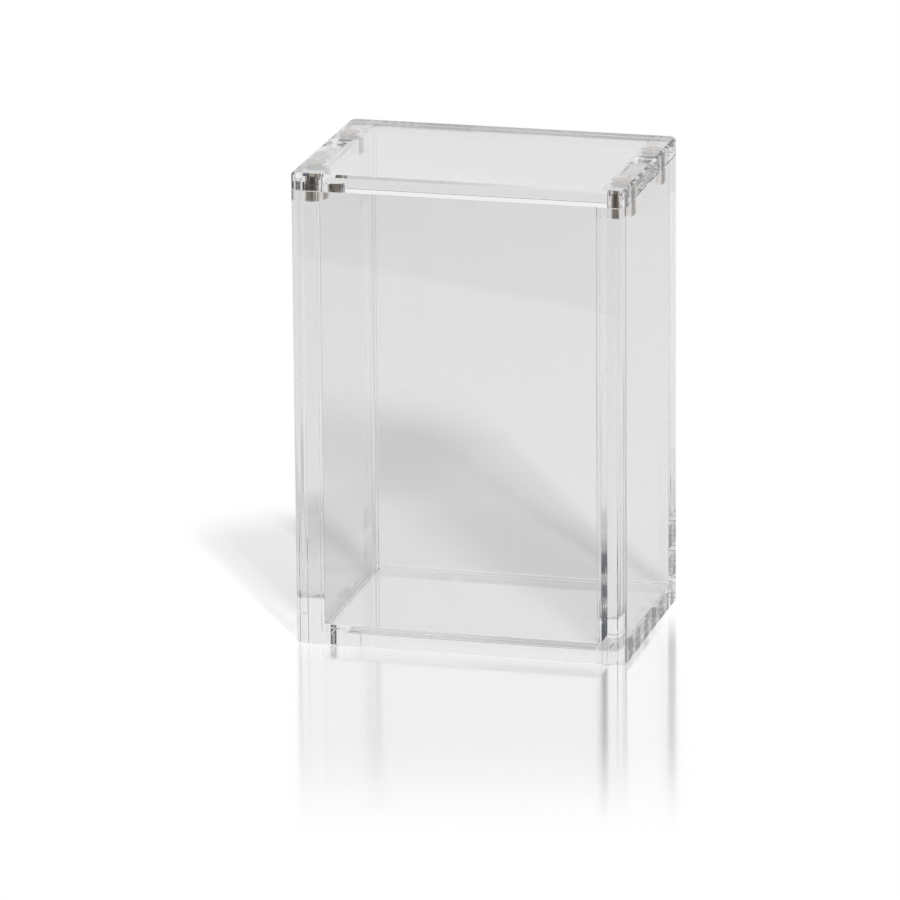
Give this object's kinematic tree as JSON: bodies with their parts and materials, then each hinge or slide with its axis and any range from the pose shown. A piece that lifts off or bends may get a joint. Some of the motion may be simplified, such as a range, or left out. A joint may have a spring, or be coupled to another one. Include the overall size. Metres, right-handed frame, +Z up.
{
  "type": "acrylic display case",
  "caption": "Tall clear acrylic display case: a welded open-topped box with thick side walls and a flat lift-off lid held shut by small round magnets.",
  "frame": {"origin": "middle of the underside, where the case stands", "axes": "+X to the right along the front, +Y from the front to the back, +Z up through the lid"},
  "size_m": [0.098, 0.067, 0.14],
  "materials": {
    "clear_acrylic": "clear cast acrylic sheet, polished faces and edges",
    "magnet_nickel": "bright nickel plating"
  },
  "bodies": {
    "case": {"base_plate": "clear_acrylic", "front_panel": "clear_acrylic", "back_panel": "clear_acrylic", "left_side_panel": "clear_acrylic", "right_side_panel": "clear_acrylic", "side_magnet_front_left": "magnet_nickel", "side_magnet_front_right": "magnet_nickel", "side_magnet_back_left": "magnet_nickel", "side_magnet_back_right": "magnet_nickel"},
    "lid": {"lid_plate": "clear_acrylic", "lid_magnet_front_left": "magnet_nickel", "lid_magnet_front_right": "magnet_nickel", "lid_magnet_back_left": "magnet_nickel", "lid_magnet_back_right": "magnet_nickel"}
  },
  "joints": [
    {"name": "lid_lift", "type": "slide", "parent": "case", "child": "lid", "axis": [0, 0, 1], "range_m": [0, 0.15]}
  ]
}
